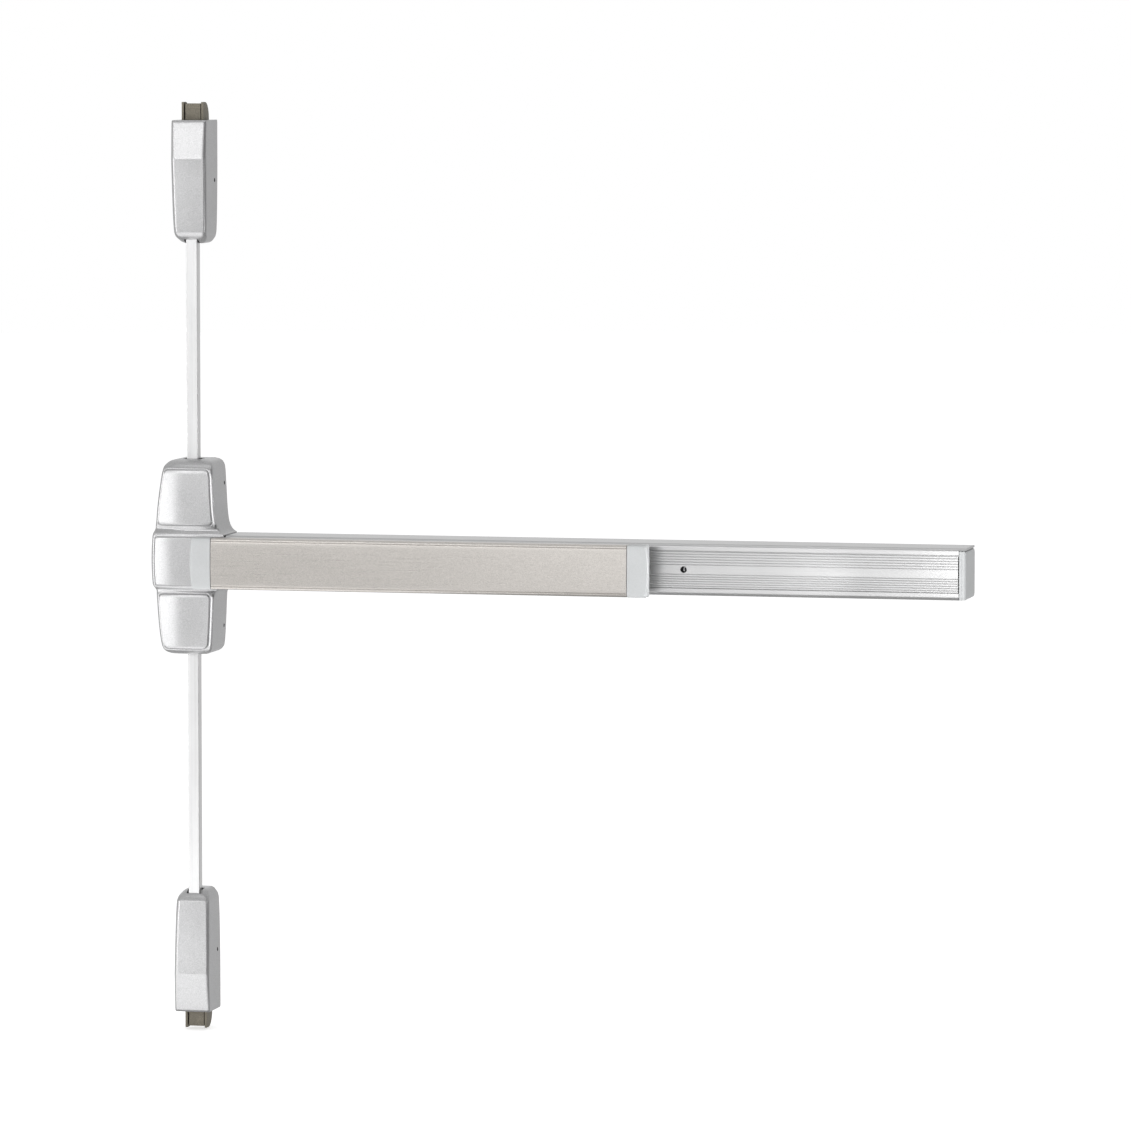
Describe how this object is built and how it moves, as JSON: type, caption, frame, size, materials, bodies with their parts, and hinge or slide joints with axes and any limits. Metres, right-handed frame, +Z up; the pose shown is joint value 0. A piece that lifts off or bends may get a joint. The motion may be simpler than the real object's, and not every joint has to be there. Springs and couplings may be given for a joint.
{
  "type": "panic exit bar",
  "caption": "Push-pad panic bar for a door, with a grooved mechanism case, a centre case and surface vertical rods to top and bottom latches.",
  "frame": {"origin": "on the door's face, where the rods' centreline meets the bar's centreline", "axes": "+X along the bar away from the centre case, +Y into the door, +Z up"},
  "size_m": [0.9206, 0.0974, 1.037],
  "materials": {
    "silver_paint": "sprayed silver, satin",
    "pad_steel": "fine brushed along the bar, satin",
    "case_alloy": "satin anodised extrusion",
    "cap_grey": "moulded light grey, fine texture",
    "rod_steel": "bright satin",
    "bolt_steel": "dark, dull",
    "zinc_steel": "zinc plated",
    "spring_steel": "drawn wire",
    "screw_steel": "plain"
  },
  "bodies": {
    "frame": {"centre_case_cover": "silver_paint", "centre_baseplate": "zinc_steel", "centre_cover_screw_1": "screw_steel", "centre_cover_screw_2": "screw_steel", "centre_cover_screw_3": "screw_steel", "centre_cover_screw_4": "screw_steel", "upper_crank_post": "zinc_steel", "lower_crank_post": "zinc_steel", "mechanism_case": "case_alloy", "fluted_cover": "case_alloy", "end_cap": "cap_grey", "end_bracket": "zinc_steel", "crank_bracket_left": "zinc_steel", "crank_bracket_right": "zinc_steel", "crank_pin_left": "zinc_steel", "crank_pin_right": "zinc_steel", "spring_anchor": "zinc_steel", "return_spring": "spring_steel", "dogging_bracket": "zinc_steel", "top_latch_base": "zinc_steel", "top_latch_cover": "silver_paint", "top_latch_screw_left": "screw_steel", "top_latch_screw_right": "screw_steel", "bottom_latch_base": "zinc_steel", "bottom_latch_cover": "silver_paint", "bottom_latch_screw_left": "screw_steel", "bottom_latch_screw_right": "screw_steel"},
    "pad": {"push_pad": "pad_steel", "pad_cap_left": "cap_grey", "pad_cap_right": "cap_grey", "pad_carrier": "zinc_steel", "pad_link_bracket_left": "zinc_steel", "pad_link_bracket_right": "zinc_steel", "pad_link_pin_left": "zinc_steel", "pad_link_pin_right": "zinc_steel", "dogging_catch": "zinc_steel"},
    "bell_crank_left": {"bell_crank_left": "zinc_steel"},
    "bell_crank_right": {"bell_crank_right": "zinc_steel"},
    "link": {"link_bar": "zinc_steel"},
    "upper_centre_crank": {"upper_centre_crank": "zinc_steel"},
    "lower_centre_crank": {"lower_centre_crank": "zinc_steel"},
    "upper_rod": {"upper_rod": "rod_steel", "upper_rod_connector": "zinc_steel", "top_bolt": "bolt_steel"},
    "lower_rod": {"lower_rod": "rod_steel", "lower_rod_connector": "zinc_steel", "bottom_bolt": "bolt_steel"},
    "dogging": {"dogging_shaft": "screw_steel", "dogging_hook": "zinc_steel"}
  },
  "joints": [
    {"name": "pad_press", "type": "slide", "parent": "frame", "child": "pad", "axis": [0, 1, 0], "range_m": [0, 0.019], "stiffness_N_per_m": 2500, "springref_m": -0.012},
    {"name": "bell_crank_left_turn", "type": "hinge", "parent": "frame", "child": "bell_crank_left", "pos_m": [0.11, -0.03, 0], "axis": [0, 0, 1], "range_deg": [0, 34.61]},
    {"name": "bell_crank_right_turn", "type": "hinge", "parent": "frame", "child": "bell_crank_right", "pos_m": [0.43, -0.03, 0], "axis": [0, 0, 1], "range_deg": [0, 34.61]},
    {"name": "link_slide", "type": "slide", "parent": "frame", "child": "link", "axis": [-1, 0, 0], "range_m": [0, 0.01028], "deforming": ["return_spring"]},
    {"name": "upper_centre_crank_turn", "type": "hinge", "parent": "frame", "child": "upper_centre_crank", "pos_m": [-0.022, -0.0175, 0.018], "axis": [0, 1, 0], "range_deg": [0, 50.09]},
    {"name": "lower_centre_crank_turn", "type": "hinge", "parent": "frame", "child": "lower_centre_crank", "pos_m": [-0.022, -0.0175, -0.018], "axis": [0, -1, 0], "range_deg": [0, 50.09]},
    {"name": "upper_rod_draw", "type": "slide", "parent": "frame", "child": "upper_rod", "axis": [0, 0, -1], "range_m": [0, 0.02056]},
    {"name": "lower_rod_draw", "type": "slide", "parent": "frame", "child": "lower_rod", "axis": [0, 0, 1], "range_m": [0, 0.02056]},
    {"name": "dogging_turn", "type": "hinge", "parent": "frame", "child": "dogging", "pos_m": [0.5645, -0.03, 0], "axis": [0, -1, 0], "range_deg": [0, 90]}
  ],
  "couplings": [
    {"joint": "bell_crank_left_turn", "follows": "pad_press", "rad_per_m": 31.784},
    {"joint": "bell_crank_right_turn", "follows": "pad_press", "rad_per_m": 31.784},
    {"joint": "link_slide", "follows": "pad_press", "ratio": 0.54098},
    {"joint": "upper_centre_crank_turn", "follows": "pad_press", "rad_per_m": 46.008},
    {"joint": "lower_centre_crank_turn", "follows": "pad_press", "rad_per_m": 46.008},
    {"joint": "upper_rod_draw", "follows": "pad_press", "ratio": 1.082},
    {"joint": "lower_rod_draw", "follows": "pad_press", "ratio": 1.082}
  ]
}
